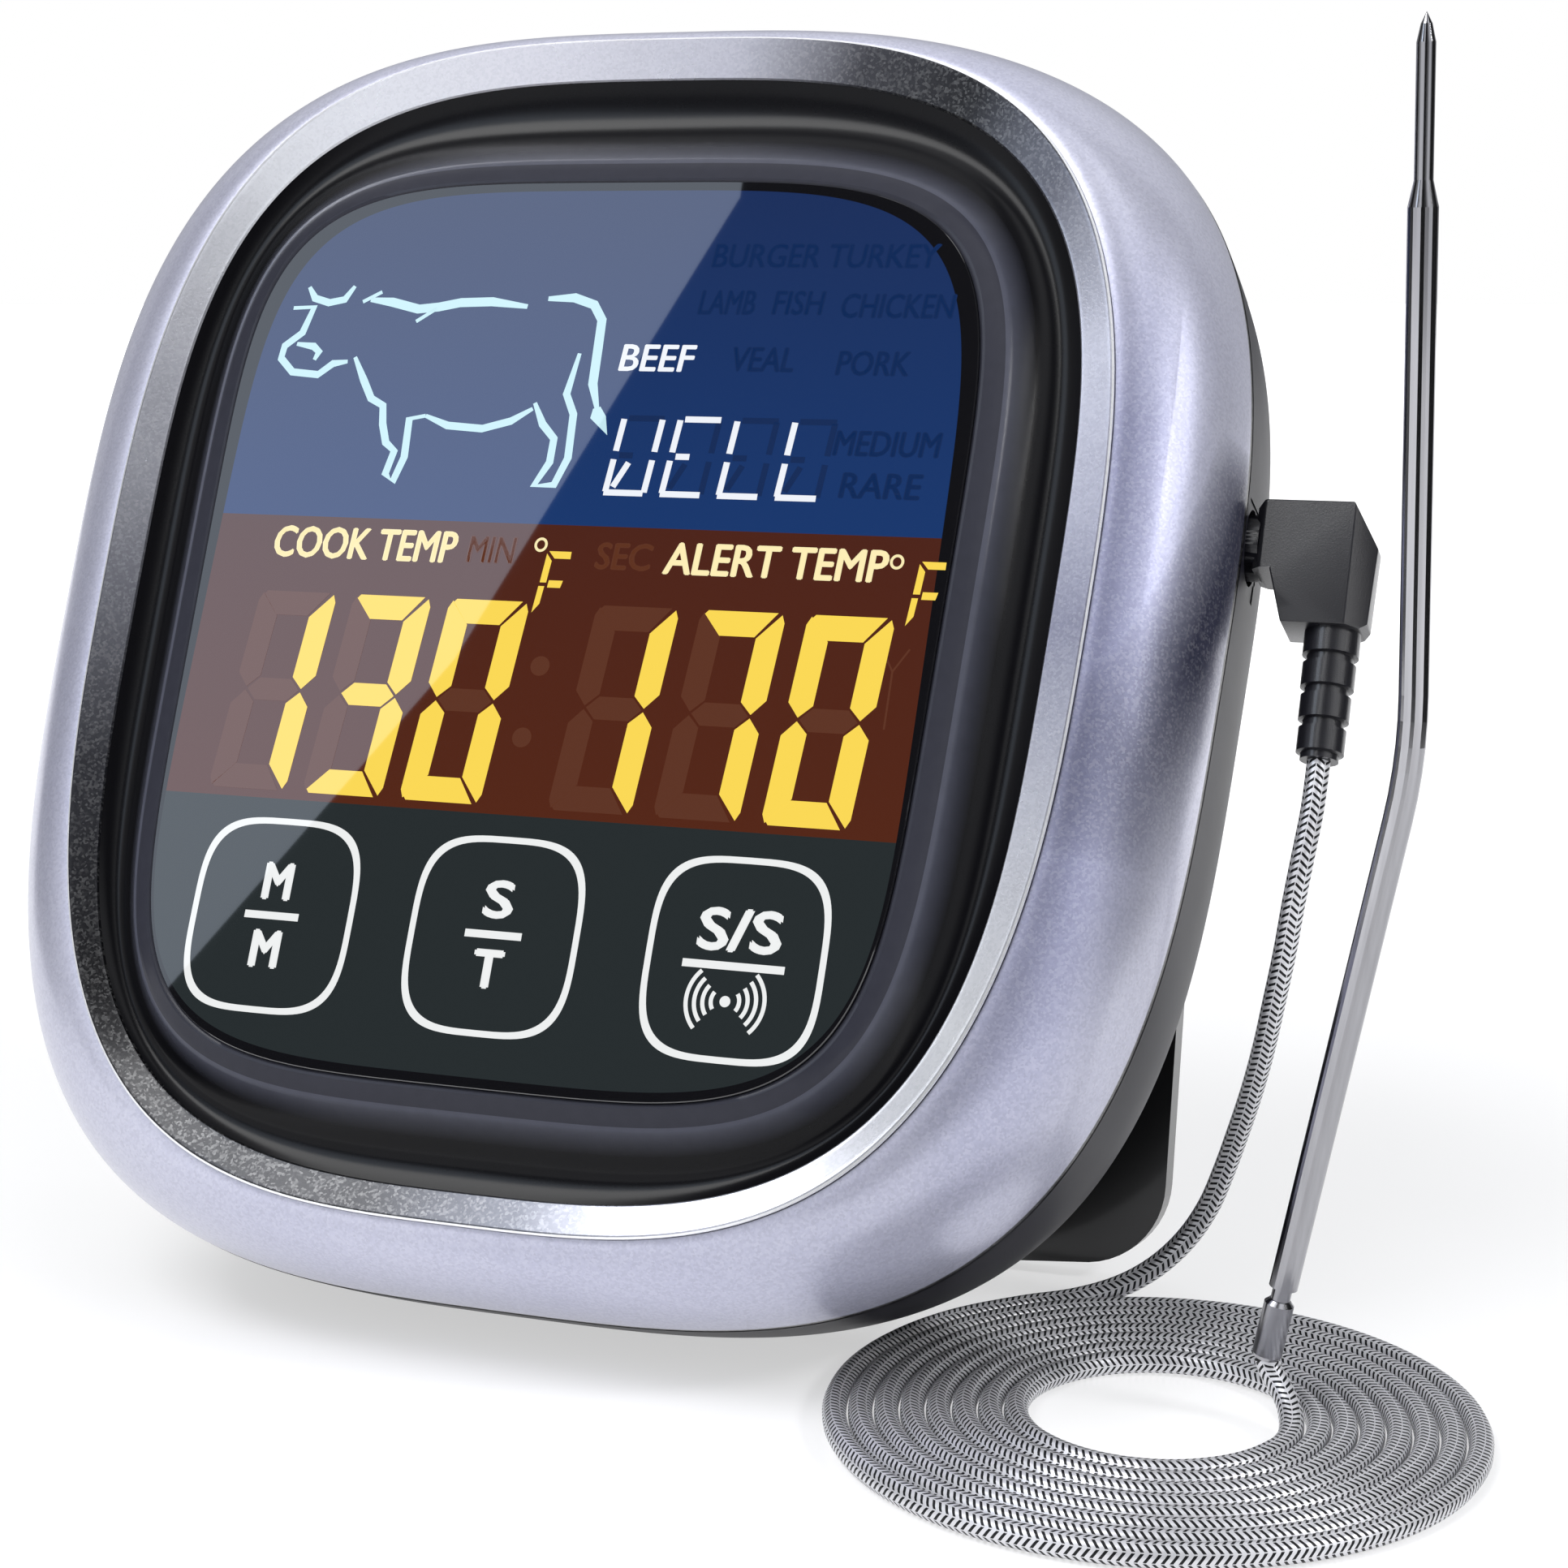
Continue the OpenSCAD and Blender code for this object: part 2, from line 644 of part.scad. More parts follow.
glass_panel();
glass_seal();
front_bezel();
trim_ring();
side_shell();
rear_shell();
front_chassis();
lcd_module();
backlight();
touch_film();
main_board();
driver_chip();
buzzer();
jack_body();
jack_bushing();
battery_tray();
cell_upper();
cell_lower();
spring_contacts();
plate_contacts();
battery_door();
switch_body();
switch_knob();
unit_switch();
unit_button();
magnets();
case_screws();
foot_pad();
stand_frame();
stand_pins();
stand_tip();
plug_body();
plug_pin();
lead_boot();
cord_tube();
cord_coil();
cord_riser();
probe_ferrule();
probe_shaft();
probe_tip();
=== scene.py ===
from math import cos, pi, radians, sin
import bmesh
import bpy
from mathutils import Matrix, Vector

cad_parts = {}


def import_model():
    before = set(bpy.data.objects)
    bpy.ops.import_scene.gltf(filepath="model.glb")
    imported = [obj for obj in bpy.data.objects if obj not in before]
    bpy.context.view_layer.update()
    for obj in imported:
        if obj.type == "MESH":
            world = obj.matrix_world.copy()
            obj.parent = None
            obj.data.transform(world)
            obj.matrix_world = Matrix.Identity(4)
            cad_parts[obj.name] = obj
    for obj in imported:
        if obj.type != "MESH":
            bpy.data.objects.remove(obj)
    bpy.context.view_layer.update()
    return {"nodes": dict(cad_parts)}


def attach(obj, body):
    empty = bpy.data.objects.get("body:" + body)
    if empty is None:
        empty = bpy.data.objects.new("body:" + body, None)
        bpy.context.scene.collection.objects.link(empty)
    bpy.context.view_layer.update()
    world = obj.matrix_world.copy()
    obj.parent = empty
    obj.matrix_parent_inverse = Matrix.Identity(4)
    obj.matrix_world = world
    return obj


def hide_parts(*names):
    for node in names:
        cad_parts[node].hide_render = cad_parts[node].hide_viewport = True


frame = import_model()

nodes = frame["nodes"]

# The world is in metres: X right, Y away, Z up, with the table at Z = 0.
# On the case, u runs right, v up the face and s back from the glass, all in mm.
stance = {"lean": 26, "faceHeight": 58.3}
lean = radians(stance["lean"])


def world(u, v, s):
    away = v*sin(lean) + s*cos(lean)
    height = stance["faceHeight"] + v*cos(lean) - s*sin(lean)
    return Vector((u, away, height))/1000


cameraView = {"azimuth": 20, "elevation": 10.4, "lens": 68.0, "place": (0.0950, -0.2089, 0.0852)}
viewTurn = radians(cameraView["azimuth"])


def makeCamera():
    rise = radians(cameraView["elevation"])
    camera = bpy.data.objects.new("camera", bpy.data.cameras.new("camera"))
    camera.data.sensor_width, camera.data.lens = 36, cameraView["lens"]
    camera.data.clip_start, camera.data.clip_end = 0.01, 20
    camera.location = cameraView["place"]
    ahead = Vector((-sin(viewTurn)*cos(rise), cos(viewTurn)*cos(rise), -sin(rise)))
    camera.rotation_mode = "QUATERNION"
    camera.rotation_quaternion = ahead.to_track_quat("-Z", "Y")
    bpy.context.collection.objects.link(camera)
    bpy.context.scene.camera = camera
    return camera


camera = makeCamera()
bpy.context.scene.view_settings.view_transform = "Standard"
print("camera")


# making meshes
def meshPiece(name, points, faces, body="case", slot=None, uvs=None, smooth=35, millimetres=True):
    mesh = bpy.data.meshes.new(name)
    scale = 0.001 if millimetres else 1
    mesh.from_pydata([tuple(c*scale for c in p) for p in points], [], faces)
    if uvs:
        layer = mesh.uv_layers.new(name="UVMap")
        for loop in mesh.loops:
            layer.data[loop.index].uv = uvs[loop.vertex_index]
    piece = bpy.data.objects.new(name, mesh)
    bpy.context.collection.objects.link(piece)
    if smooth:
        mesh.shade_smooth()
        mesh.set_sharp_from_angle(angle=radians(smooth))
    if body:
        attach(piece, body)
    return piece


def signedPower(a, e):
    return (1 if a > 0 else -1)*abs(a)**e if abs(a) > 1e-9 else 0


def rounded(halfWidth, halfHeight, centre, power=3.6, sides=96):
    # a rounded box on the face, from a superellipse
    turns = [2*pi*i/sides for i in range(sides)]
    return [(halfWidth*signedPower(cos(a), 2/power) + centre[0],
             halfHeight*signedPower(sin(a), 2/power) + centre[1]) for a in turns]


# Outlines of the case: half width, half height, power across, power up, height of the middle.
caseShape = {"glass": [31.3, 37, 4.3, 5.3, -2], "lip": [33.6, 39.3, 4, 4.8, -1.8],
             "inner": [38.9, 46.1, 3.1, 3.5, -0.4], "ring": [41.9, 49.1, 3.2, 2.9, 0],
             "joint": [50.2, 53.5, 3.25, 3.2, -0.7], "back": [47.3, 49.6, 3.6, 3.6, 1.8],
             "jointDepth": 12.9, "backDepth": 28.7, "flare": 0.00075, "swell": 1.75}


def outline(o, sides):
    points = []
    for i in range(sides):
        a = 2*pi*i/sides
        y = o[1]*signedPower(sin(a), 2/o[3])
        points.append((o[0]*signedPower(cos(a), 2/o[2])*(1 + caseShape["flare"]*y), y + o[4]))
    return points


def blend(a, b, f):
    return [x + (y - x)*f for x, y in zip(a, b)]


def grow(o, d):
    return [o[0] + d, o[1] + d] + list(o[2:])


def caseSide(f):
    swell = caseShape["swell"]
    return blend(caseShape["ring"], caseShape["joint"], (1 - (1 - f)**swell)**(1/swell))


def caseRear(f):
    return blend(caseShape["joint"], caseShape["back"], 1 - (1 - f**2.5)**0.4)


def loft(name, stations, sides=288, hole=None, **options):
    # stations are (outline, depth) pairs; a hole is (middle, radius), and faces near it are left out
    points, uvs, faces = [], [], []
    for row, (o, depth) in enumerate(stations):
        for i, (u, v) in enumerate(outline(o, sides)):
            points.append(world(u, v, depth)*1000)
            uvs.append((i/sides, row/len(stations)))
    for k in range(len(stations) - 1):
        a, b = k*sides, (k + 1)*sides
        for i in range(sides):
            j = (i + 1) % sides
            face = (a + i, a + j, b + j, b + i)
            if not (hole and min((points[c] - hole[0]).length for c in face) < hole[1]):
                faces.append(face)
    return meshPiece(name, points, faces, uvs=uvs, **options)


def facePlate(name, shape, depth, **options):
    points = [world(u, v, depth)*1000 for u, v in shape]
    return meshPiece(name, points, [tuple(range(len(points)))], uvs=list(shape), **options)


# the plug, with its moulded edges rounded off
plugShape = {"rounding": 0.00045, "neckEnd": 0.0514, "shortestEdge": 0.0012, "sharperThan": 28}


def makePlug():
    shape = bmesh.new()
    shape.from_mesh(nodes["plug_body"].data)
    bmesh.ops.remove_doubles(shape, verts=shape.verts, dist=0.00001)
    bmesh.ops.dissolve_limit(shape, angle_limit=radians(2), verts=shape.verts, edges=shape.edges)
    corners = [e for e in shape.edges
               if len(e.link_faces) == 2 and e.calc_face_angle() > radians(plugShape["sharperThan"])
               and e.calc_length() > plugShape["shortestEdge"]
               and min(v.co.x for v in e.verts) > plugShape["neckEnd"]]
    bmesh.ops.bevel(shape, geom=corners, offset=plugShape["rounding"], segments=3, profile=0.5,
                    affect="EDGES", clamp_overlap=True)
    mesh = bpy.data.meshes.new("plug_rounded")
    shape.to_mesh(mesh)
    shape.free()
    mesh.shade_smooth()
    mesh.set_sharp_from_angle(angle=radians(18))
    piece = bpy.data.objects.new("plug_rounded", mesh)
    bpy.context.collection.objects.link(piece)
    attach(piece, "lead")
    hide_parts("plug_body")
    return piece


plug = makePlug()

# The lead's points in mm, as in the part's source: down from the boot, and up to the probe.
leadRoute = [(57.5, 12.5, 46.4), (57.4, 11, 43), (57, 9.8, 39.5), (56.5, 9.3, 36), (55.9, 9.5, 32),
             (55.1, 10.2, 28), (54.2, 11.4, 24), (53.1, 12.8, 20), (51.8, 14.2, 16), (50.6, 15.2, 12.5),
             (49.3, 15.8, 9.2), (47.5, 16, 6.2), (45.2, 15.4, 3.8), (42.5, 14.2, 2.2), (39.2, 12.5, 1.3)]
riserRoute = [(60.5, -9.8, 0.95), (60.6, -8.3, 1.1), (60.4, -6.9, 1.5), (59.9, -5.6, 2.2),
              (59.1, -4.6, 3.1), (58.3, -4.1, 4), (57.9, -4, 5)]
cordLook = {"width": 1.9, "drawnWidth": 1.81, "coilMiddle": (51, -8), "coilRadius": 24.3,
            "coilStart": 130, "coilEnd": 2860, "coilStep": 15}


def coilPoints():
    # one flat spiral, each turn a cord's width inside the last
    points = []
    x, y = cordLook["coilMiddle"]
    for angle in range(cordLook["coilStart"], cordLook["coilEnd"] + 1, cordLook["coilStep"]):
        r = cordLook["coilRadius"] - cordLook["width"]*(angle - 90)/360
        points.append((x + r*cos(radians(angle)), y + r*sin(radians(angle)), cordLook["width"]/2))
    return points


def smoothRoute(points, steps=4):
    # a curve through every point
    padded = [points[0]] + list(points) + [points[-1]]
    out = []
    for k in range(len(points) - 1):
        p = [Vector(q) for q in padded[k:k + 4]]
        for j in range(steps):
            t = j/steps
            bend = 2*p[0] - 5*p[1] + 4*p[2] - p[3]
            out.append(0.5*((2*p[1]) + (p[2] - p[0])*t + bend*t*t + (3*p[1] - p[0] - 3*p[2] + p[3])*t**3))
    return out + [Vector(points[-1])]


def sweep(name, route, width, sides=12, **options):
    points, uvs, faces, travelled = [], [], [], 0
    normal = Vector((1, 0, 0))
    for k, p in enumerate(route):
        tangent = (route[min(k + 1, len(route) - 1)] - route[max(k - 1, 0)]).normalized()
        normal = (normal - tangent*normal.dot(tangent)).normalized()
        side = tangent.cross(normal)
        travelled += (p - route[k - 1]).length if k else 0
        for i in range(sides + 1):
            a = 2*pi*i/sides
            points.append(p + width/2*(normal*cos(a) + side*sin(a)))
            uvs.append((i/sides, travelled))
    for k in range(len(route) - 1):
        for i in range(sides):
            a, b = k*(sides + 1) + i, (k + 1)*(sides + 1) + i
            faces.append((a, a + 1, b + 1, b))
    return meshPiece(name, points, faces, uvs=uvs, smooth=60, **options), travelled


cordPath = smoothRoute(leadRoute + coilPoints() + riserRoute)
braid, braidLength = sweep("lead_braid", cordPath, cordLook["drawnWidth"], body="lead", slot="braid")
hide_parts("cord_tube", "cord_coil", "cord_riser")
braidLength/1000
[tuple(p/1000) for p in cordPath]
print("lead", round(braidLength), "mm")


# shader tools
def linear(code):
    parts = [int(code[i:i + 2], 16)/255 for i in (0, 2, 4)]
    return tuple(c/12.92 if c <= 0.04045 else ((c + 0.055)/1.055)**2.4 for c in parts)


def feed(tree, slot, value):
    if isinstance(value, Wire):
        tree.links.new(value.socket, slot)
    elif hasattr(slot.default_value, "__len__") and len(value) == 3 and len(slot.default_value) == 4:
        slot.default_value = (*value, 1)
    else:
        slot.default_value = value


def addNode(tree, kind, settings=None, sockets=None, out=0):
    node = tree.nodes.new("ShaderNode" + kind)
    for key, value in (settings or {}).items():
        if key == "stops":
            for k, (at, code) in enumerate(value):
                stop = node.color_ramp.elements.new(at) if k > 1 else node.color_ramp.elements[k]
                stop.position, stop.color = at, (*linear(code), 1)
        else:
            setattr(node, key, value)
    for key, value in (sockets or {}).items():
        feed(tree, node.inputs[key], value)
    return Wire(tree, node.outputs[out])


class Wire:
    def __init__(self, tree, socket):
        self.tree, self.socket = tree, socket

    def op(self, kind, *values):
        return addNode(self.tree, "Math", {"operation": kind}, dict(enumerate(values)))

    def __add__(self, other): return self.op("ADD", self, other)
    def __radd__(self, other): return self.op("ADD", other, self)
    def __sub__(self, other): return self.op("SUBTRACT", self, other)
    def __rsub__(self, other): return self.op("SUBTRACT", other, self)
    def __mul__(self, other): return self.op("MULTIPLY", self, other)
    def __rmul__(self, other): return self.op("MULTIPLY", other, self)
    def __truediv__(self, other): return self.op("DIVIDE", self, other)
    def __rtruediv__(self, other): return self.op("DIVIDE", other, self)
    def power(self, e): return self.op("POWER", self, e)
    def size(self): return self.op("ABSOLUTE", self)
    def part(self): return self.op("FRACT", self)
    def above(self, limit): return self.op("GREATER_THAN", self, limit)
    def angle(self, other): return self.op("ARCTAN2", self, other)

    def ramp(self, low, high):
        return addNode(self.tree, "MapRange", None, {"Value": self, "From Min": low, "From Max": high})

    def split(self):
        x = addNode(self.tree, "SeparateXYZ", None, {0: self})
        outputs = x.socket.node.outputs
        return x, Wire(self.tree, outputs[1]), Wire(self.tree, outputs[2])


class Paint:
    def __init__(self, name, **values):
        self.material = bpy.data.materials.new(name)
        self.material.use_nodes = True
        self.tree = self.material.node_tree
        self.surface = self.tree.nodes["Principled BSDF"]
        self.set(**values)

    def set(self, **values):
        for key, value in values.items():
            feed(self.tree, self.surface.inputs[key.replace("_", " ")], value)
        return self

    def node(self, kind, settings=None, sockets=None, out=0):
        return addNode(self.tree, kind, settings, sockets, out)

    def place(self):
        return self.node("TexCoord", out=3)

    def uv(self):
        return self.node("TexCoord", out=2).split()[:2]

    def body(self):
        # u and v on the face, and s behind it, in mm
        x, y, z = self.place().split()
        lift = z*1000 - stance["faceHeight"]
        return x*1000, y*1000*sin(lean) + lift*cos(lean), y*1000*cos(lean) - lift*sin(lean)

    def noise(self, scale, detail=3):
        sockets = {"Vector": self.place(), "Scale": scale, "Detail": detail, "Roughness": 0.5}
        return self.node("TexNoise", None, sockets)

    def mix(self, factor, a, b):
        return self.node("Mix", {"data_type": "RGBA"}, {0: factor, 6: a, 7: b}, 2)

    def bump(self, height, strength, distance):
        sockets = {"Height": height, "Strength": strength, "Distance": distance}
        return self.set(Normal=self.node("Bump", None, sockets))

    def on(self, *pieces):
        for piece in pieces:
            piece.data.materials.clear()
            piece.data.materials.append(self.material)
        return self


def dim(colour, share):
    return tuple(c*(1 - share) for c in colour)


# the glossy bezel: a lip by the glass, then a hollow that runs out to the ring; its colour holds a painted
# highlight by the glass
bezelLook = {"black": "0d0d10", "paintedSheen": "4c4e5a", "lip": "33343d", "fade": 0.4, "gloss": 0.15,
             "roughness": 0.2, "lipDepth": 1, "drop": 1.9, "hollow": 1.4, "steps": 24, "outerDepth": 4.6}


def makeBezel():
    glassEdge, lip, inner = caseShape["glass"], caseShape["lip"], caseShape["inner"]
    steps = bezelLook["steps"]
    rows = [(grow(glassEdge, 0.1), 1.2), (grow(glassEdge, 0.1), 0.35), (grow(glassEdge, 0.3), 0.22),
            (grow(glassEdge, 0.5), 0.2), (blend(grow(glassEdge, 0.5), lip, 0.5), 0.55)]
    for k in range(steps + 1):
        f = k/steps
        depth = bezelLook["lipDepth"] + bezelLook["drop"]*f + bezelLook["hollow"]*sin(pi*f)
        rows.append((blend(lip, inner, f), depth))
    rows.append((inner, bezelLook["outerDepth"]))
    piece = loft("bezel_gloss", rows, slot="gloss_black", smooth=25)
    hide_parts("front_bezel")
    paint = Paint("bezel_black", Roughness=bezelLook["roughness"], Specular_IOR_Level=bezelLook["gloss"])
    row = paint.uv()[1]
    # painted highlight: the lip is painted grey, and a lighter painted highlight next to it fades to black
    # across the hollow
    fall = row.ramp(0.16, bezelLook["fade"]).power(0.7)
    hollow = paint.mix(fall, linear(bezelLook["paintedSheen"]), linear(bezelLook["black"]))
    hollow = paint.mix((0.15 - row).above(0), hollow, linear(bezelLook["lip"]))
    speck = paint.noise(900, 2)
    paint.set(Base_Color=paint.mix(speck.ramp(0.3, 0.9)*0.12, hollow, (0.0, 0.0, 0.0)))
    paint.bump(speck, 0.05, 0.00002).on(piece)


def silverPaint(name, base, look):
    # base gives the paint's colour, painted reflections and painted shade included; flakes lighten and darken
    # it point by point
    paint = Paint(name, Metallic=look["metal"], Coat_Weight=look["coat"], Coat_Roughness=0.12)
    colour = base(paint)
    specks = paint.node("TexVoronoi", None, {"Vector": paint.place(), "Scale": 5200}, 1)
    fleck = paint.node("SeparateColor", None, {"Color": specks})
    dark = paint.mix((0.5 - fleck).ramp(0, 0.5)*look["flake"], colour, (0, 0, 0))
    paint.set(Base_Color=paint.mix((fleck - 0.5).ramp(0, 0.5)*look["flake"], dark, (1, 1, 1)),
              Roughness=look["roughness"] - 0.05 + 0.1*paint.noise(240, 4))
    return paint.bump(fleck, 0.25, 0.00002)


# the bright ring round the bezel, its colour holding painted reflections; its stops run round it from the
# right, a whole turn being 1
ringLook = {"metal": 0.6, "roughness": 0.26, "flake": 0.07, "coat": 0.2, "edge": "f4f5f8",
            "stops": [(0.0, "8a8b9e"), (0.07, "c6c8d6"), (0.115, "55565f"), (0.15, "18191c"),
                      (0.185, "3a3b42"), (0.225, "b9bac6"), (0.3, "d6d6df"), (0.38, "e6e8ee"),
                      (0.44, "9fa0a8"), (0.5, "66676f"), (0.55, "2c2d33"), (0.61, "0d0d10"),
                      (0.72, "1e1f24"), (0.77, "50535d"), (0.82, "b4b6c2"), (0.9, "e2e4e8"), (1.0, "8a8b9e")]}


def ringBase(paint):
    u, v = paint.body()[:2]
    turn = (v/49).angle(u/42)/(2*pi)
    turn = turn + (0 - turn).above(0)
    # painted reflections: light and dark patches set by the turn round the ring
    tone = paint.node("ValToRGB", {"stops": ringLook["stops"]}, {"Fac": turn})
    row = paint.uv()[1]
    # a painted highlight along the front edge, then the dark joint behind it
    tone = paint.mix((row - 0.68).above(0), tone, linear(ringLook["edge"]))
    return paint.mix((row - 0.8).above(0), tone, (0.01, 0.01, 0.012))


def makeRing():
    inner, outer = caseShape["inner"], caseShape["ring"]
    rows = [(inner, 3.4), (inner, 2.95), (grow(inner, 0.12), 2.75), (grow(inner, 0.35), 2.68),
            (grow(outer, -0.5), 1.98), (grow(outer, -0.25), 1.9), (outer, 1.98), (grow(outer, 0.05), 2.25)]
    piece = loft("ring_satin", rows, slot="silver", smooth=25)
    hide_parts("trim_ring")
    silverPaint("ring_silver", ringBase, ringLook).on(piece)


# the silver front shell, with painted shade beside the ring and a painted shadow below the plug
sideLook = {"pale": "c6c7d8", "shade": "a4a6c0", "paintedCheekShade": "8487aa", "plugShade": "3c3e54", "joint": "0c0c10",
            "metal": 0.5, "roughness": 0.33, "flake": 0.09, "coat": 0.3, "start": 2.35, "rows": 40}


def sideBase(paint):
    cloud = paint.noise(24, 2)
    u, v, s = paint.body()
    tone = paint.mix(cloud.ramp(0.35, 0.75)*0.6, linear(sideLook["pale"]), linear(sideLook["shade"]))
    # painted shade on the right flank, darkest next to the ring
    paintedCheekShade = s.ramp(8.0, 2.6)*u.ramp(34, 43)*v.ramp(36, 16)
    tone = paint.mix(paintedCheekShade*0.8, tone, linear(sideLook["paintedCheekShade"]))
    # a painted shadow of the plug: soft and dark, it runs down and forward from the plug
    down = (16.5 - v)/34
    across = ((s - 12.6 + down*8.5)/5.2).size().ramp(0.15, 1)
    plugShadowMask = (1 - across)*down.ramp(-0.04, 0.06)*down.ramp(1, 0.5)
    tone = paint.mix(plugShadowMask.power(0.6)*u.ramp(38, 42), tone, linear(sideLook["plugShade"]))
    return paint.mix(s.ramp(12.25, 12.45), tone, linear(sideLook["joint"]))


def makeSide():
    start, joint = sideLook["start"], caseShape["jointDepth"]
    rows = []
    for k in range(sideLook["rows"] + 1):
        f = (k/sideLook["rows"])**1.7
        rows.append((caseSide(f), start + (joint - start)*f))
    rows.append((grow(caseShape["joint"], -0.3), joint + 0.12))
    piece = loft("side_silver", rows, slot="silver", smooth=30)
    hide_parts("side_shell")
    silverPaint("side_silver", sideBase, sideLook).on(piece)


# a smooth skin on the rear shell's flanks, open round the jack
flankLook = {"proud": 0.04, "reach": 0.75, "rows": 30, "jack": (49.9, 11.7, 16.5), "opening": 3.25}


def makeFlank():
    joint, proud = caseShape["jointDepth"], flankLook["proud"]
    span = caseShape["backDepth"] - joint
    rows = []
    for k in range(flankLook["rows"] + 1):
        f = flankLook["reach"]*k/flankLook["rows"]
        rows.append((grow(caseRear(f), proud), joint + 0.06 + span*f))
    rows.append((grow(caseRear(flankLook["reach"]), -0.15), joint + 0.12 + span*flankLook["reach"]))
    hole = (world(*flankLook["jack"])*1000, flankLook["opening"])
    return loft("rear_flank", rows, sides=360, hole=hole, slot="dark_shell", smooth=30)


makeBezel()
makeRing()
makeSide()
flank = makeFlank()
print("case")


class Print:
    # flat marks on the face, gathered into one mesh
    def __init__(self):
        self.points, self.faces = [], []

    def patch(self, shape):
        start = len(self.points)
        self.points += shape
        self.faces.append(tuple(range(start, start + len(shape))))

    def bar(self, left, low, right, high):
        self.patch([(left, low), (right, low), (right, high), (left, high)])

    def loop(self, outer, inner):
        n, start = len(outer), len(self.points)
        self.points += list(outer) + list(inner)
        for i in range(n):
            j = (i + 1) % n
            self.faces.append((start + i, start + j, start + n + j, start + n + i))

    def stroke(self, line, width, taper=1.0):
        line = [Vector(p) for p in line]
        left, right = [], []
        for k, p in enumerate(line):
            a = line[max(k - 1, 0)]
            b = line[min(k + 1, len(line) - 1)]
            across = Vector((a.y - b.y, b.x - a.x)).normalized()
            w = width/2*(taper if k in (0, len(line) - 1) else 1)
            left.append(tuple(p + across*w))
            right.append(tuple(p - across*w))
        for k in range(len(line) - 1):
            self.patch([right[k], right[k + 1], left[k + 1], left[k]])

    def text(self, words, left, right, low, high, slant=0.0, bold=0.09):
        # letters fitted to a box, and laid down five times a little apart to thicken them
        curve = bpy.data.curves.new("words", "FONT")
        curve.body, curve.size, curve.resolution_u = words, 1, 3
        holder = bpy.data.objects.new("words", curve)
        bpy.context.collection.objects.link(holder)
        bpy.context.view_layer.update()
        mesh = bpy.data.meshes.new_from_object(holder)
        xs, ys = [v.co.x for v in mesh.vertices], [v.co.y for v in mesh.vertices]
        wide, tall = (right - left)/(max(xs) - min(xs)), (high - low)/(max(ys) - min(ys))
        for dx, dy in ((-bold, 0), (0, bold*0.7), (0, 0), (0, -bold*0.7), (bold, 0)):
            start = len(self.points)
            for x, y in zip(xs, ys):
                rise = (y - min(ys))*tall
                self.points.append((left + (x - min(xs))*wide + slant*rise + dx, low + rise + dy))
            self.faces += [tuple(start + i for i in f.vertices) for f in mesh.polygons]
        bpy.data.objects.remove(holder)

    def piece(self, name, depth):
        points = [world(u, v, depth)*1000 for u, v in self.points]
        return meshPiece(name, points, self.faces, uvs=list(self.points), smooth=None, slot="screen")


lit, ghost, pale, white, icon, faint, keys = (Print() for k in range(7))

# the big numbers
digitLook = {"width": 6.9, "height": 16.5, "bar": 2.0, "slant": 0.075, "shift": -0.45, "foot": -17.35,
             "numbers": [("130", [-26.4, -18.0, -9.55]), ("170", [3.0, 11.65, 20.3])],
             "segments": {"1": "bc", "3": "abcdg", "0": "abcdef", "7": "abc"},
             "colon": ((-0.1, -6.0), (-0.56, -11.8)), "units": ((-1.65, -1.7), (28.75, -1.4))}


def digitShapes(w, h, t):
    # the seven segments, a to g, with their mitred ends
    m = h/2
    b = [(w - 0.3, h - 0.15), (w, h - 0.8), (w, m + 1.3), (w - t*0.5, m + 0.14), (w - t, m + 1.1),
         (w - t, h - t - 0.1)]
    a = [(0.35, h - 0.3), (0.6, h), (w - 0.65, h), (w - t - 0.15, h - t), (t - 0.1, h - t)]
    g = [(t*0.5 + 0.15, m), (t + 0.05, m + t*0.46), (w - t - 0.05, m + t*0.46), (w - t*0.5 - 0.15, m),
         (w - t - 0.05, m - t*0.46), (t + 0.05, m - t*0.46)]
    c = [(x, h - y) for x, y in reversed(b)]
    d = [(x, h - y) for x, y in reversed(a)]
    e, f = ([(w - x, y) for x, y in reversed(shape)] for shape in (c, b))
    return {"a": a, "b": b, "c": c, "d": d, "e": e, "f": f, "g": g}


def printNumbers():
    shapes = digitShapes(digitLook["width"], digitLook["height"], digitLook["bar"])
    for number, lefts in digitLook["numbers"]:
        for sign, left in zip(number, lefts):
            for key, shape in shapes.items():
                placed = [(left + digitLook["shift"] + x + digitLook["slant"]*y, y + digitLook["foot"])
                          for x, y in shape]
                (lit if key in digitLook["segments"][sign] else ghost).patch(placed)
    for centre in digitLook["colon"]:
        ghost.patch(rounded(0.8, 0.8, centre, 2, 32))
    unitF = [[(0, 0), (0.55, 0.75), (0.7, 2.2), (0.2, 2.2)],
             [(0.25, 2.5), (0.8, 2.5), (0.95, 4.3), (0.45, 4.9)],
             [(0.6, 5.1), (1.15, 4.5), (2.5, 4.5), (2.5, 5.1)],
             [(0.95, 2.1), (2.05, 2.1), (2.2, 2.7), (1.0, 2.7)]]
    for left, low in digitLook["units"]:
        for shape in unitF:
            lit.patch([(left + x, low + y) for x, y in shape])


